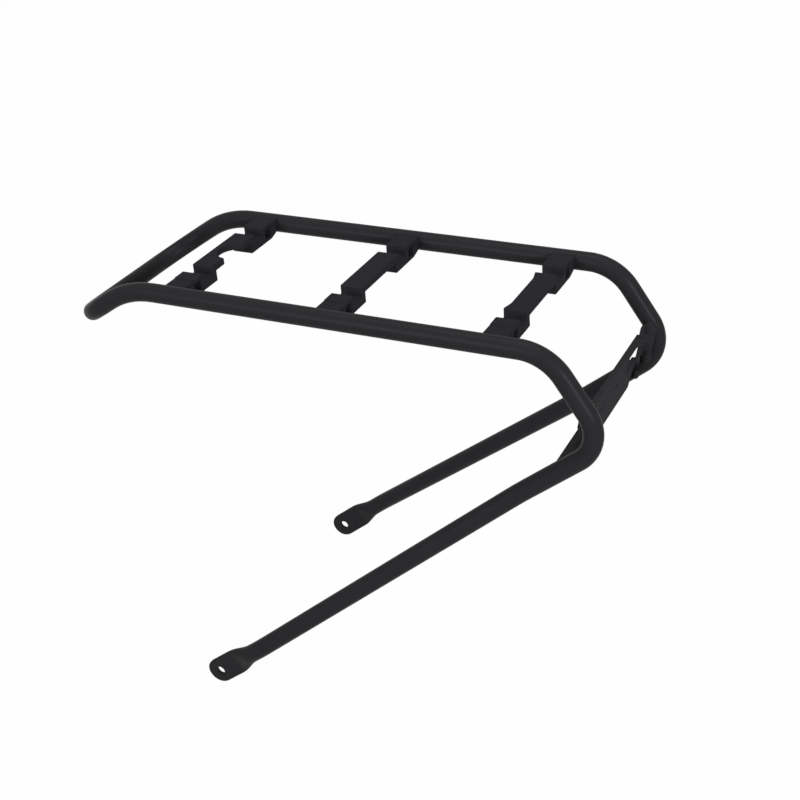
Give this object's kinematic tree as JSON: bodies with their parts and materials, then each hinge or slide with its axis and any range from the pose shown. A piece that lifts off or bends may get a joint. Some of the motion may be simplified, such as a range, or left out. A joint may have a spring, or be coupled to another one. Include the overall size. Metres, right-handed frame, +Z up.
{
  "type": "luggage rack",
  "caption": "Rear luggage rack of one bent tube with flattened leg eyes, notched crossbars on saddles and a welded folded rear plate for a light.",
  "frame": {"origin": "midway between the two leg eyes, on their common axis", "axes": "+X to the rear along the rails, +Y across to the right leg, +Z up"},
  "size_m": [0.4822, 0.263, 0.3758],
  "materials": {
    "coated_black": "satin",
    "cast_black": "satin"
  },
  "bodies": {
    "root": {"main_tube": "coated_black", "crossbar_front": "cast_black", "crossbar_middle": "cast_black", "crossbar_rear": "cast_black", "rear_plate": "coated_black", "plate_welds": "coated_black"}
  },
  "joints": []
}
